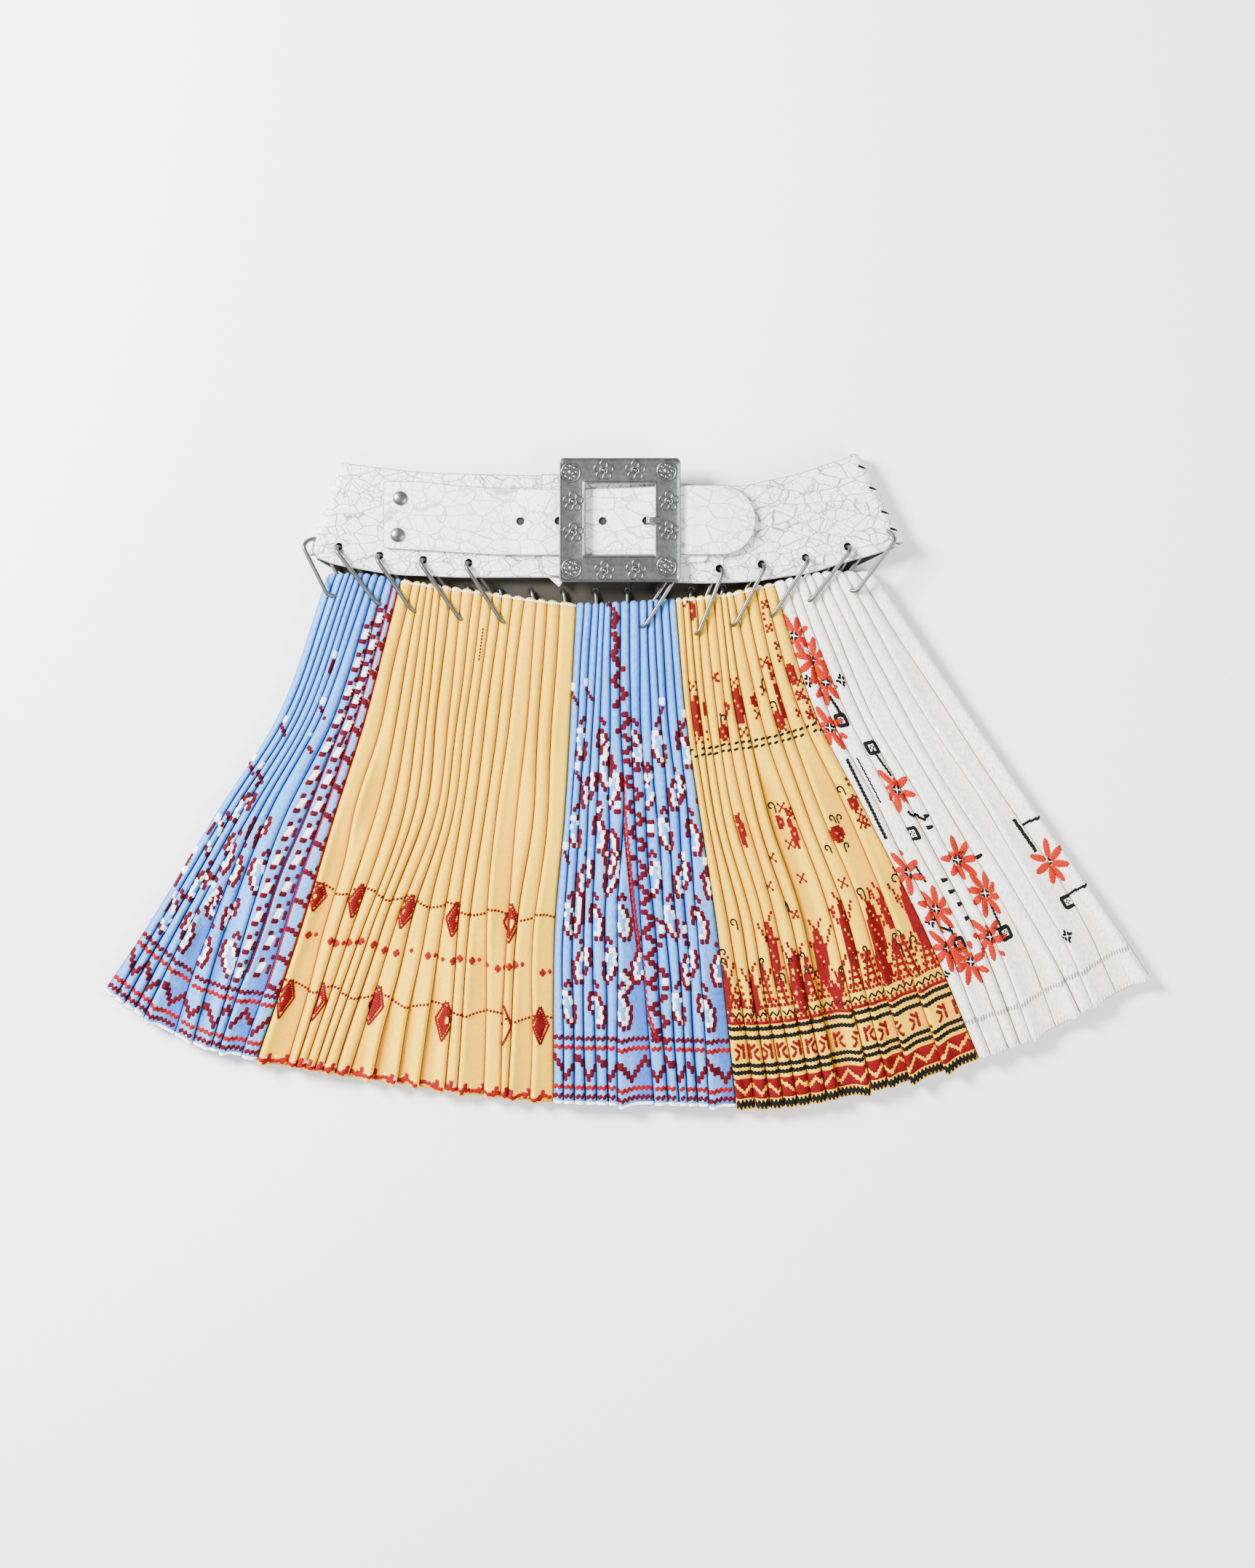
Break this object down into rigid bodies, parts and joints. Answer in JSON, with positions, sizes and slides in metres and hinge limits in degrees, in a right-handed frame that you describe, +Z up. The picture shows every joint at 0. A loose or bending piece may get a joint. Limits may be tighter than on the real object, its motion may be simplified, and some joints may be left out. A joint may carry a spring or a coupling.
{
  "type": "pleated mini skirt with a wide buckled belt",
  "caption": "Pleated patchwork mini skirt laid flat, hung by oblong steel rings from a wide belt with a strap and a square buckle",
  "frame": {"origin": "middle of the footprint, on the surface the skirt lies on", "axes": "+X to the right of the front, +Y from the hem to the belt, +Z up out of the front"},
  "size_m": [0.719, 0.4504, 0.0289],
  "materials": {
    "blue_cloth": "light blue even-weave cotton with dark red, bright red and white embroidery",
    "yellow_cloth": "cream yellow cotton twill with red and black cross-stitch",
    "white_cloth": "open-weave white cotton with orange-red and black embroidery",
    "belt_leather": "white leather with fine grey cracks",
    "strap_leather": "smooth white leather",
    "buckle_metal": "worn silver-grey cast metal",
    "ring_steel": "polished steel wire"
  },
  "bodies": {
    "root": {"front_blue_left": "blue_cloth", "front_yellow_left": "yellow_cloth", "front_blue_centre": "blue_cloth", "front_yellow_right": "yellow_cloth", "front_white_right": "white_cloth", "back_blue": "blue_cloth", "back_yellow": "yellow_cloth", "back_white": "white_cloth", "belt_left": "belt_leather", "belt_right": "belt_leather", "belt_back_left": "belt_leather", "belt_back_right": "belt_leather", "strap": "strap_leather", "buckle_tab": "strap_leather", "buckle": "buckle_metal", "prong": "buckle_metal", "rivet_upper": "buckle_metal", "rivet_lower": "buckle_metal", "ring_front_01": "ring_steel", "ring_front_02": "ring_steel", "ring_front_03": "ring_steel", "ring_front_04": "ring_steel", "ring_front_05": "ring_steel", "ring_front_06": "ring_steel", "ring_front_07": "ring_steel", "ring_front_08": "ring_steel", "ring_front_09": "ring_steel", "ring_front_10": "ring_steel", "ring_front_11": "ring_steel", "ring_back_01": "ring_steel", "ring_back_02": "ring_steel", "ring_back_03": "ring_steel", "ring_back_04": "ring_steel", "ring_back_05": "ring_steel", "ring_back_06": "ring_steel", "ring_back_07": "ring_steel", "ring_back_08": "ring_steel", "ring_back_09": "ring_steel", "ring_back_10": "ring_steel", "ring_back_11": "ring_steel", "ring_back_12": "ring_steel", "ring_back_13": "ring_steel", "ring_back_14": "ring_steel", "ring_back_15": "ring_steel", "ring_back_16": "ring_steel"}
  },
  "joints": []
}
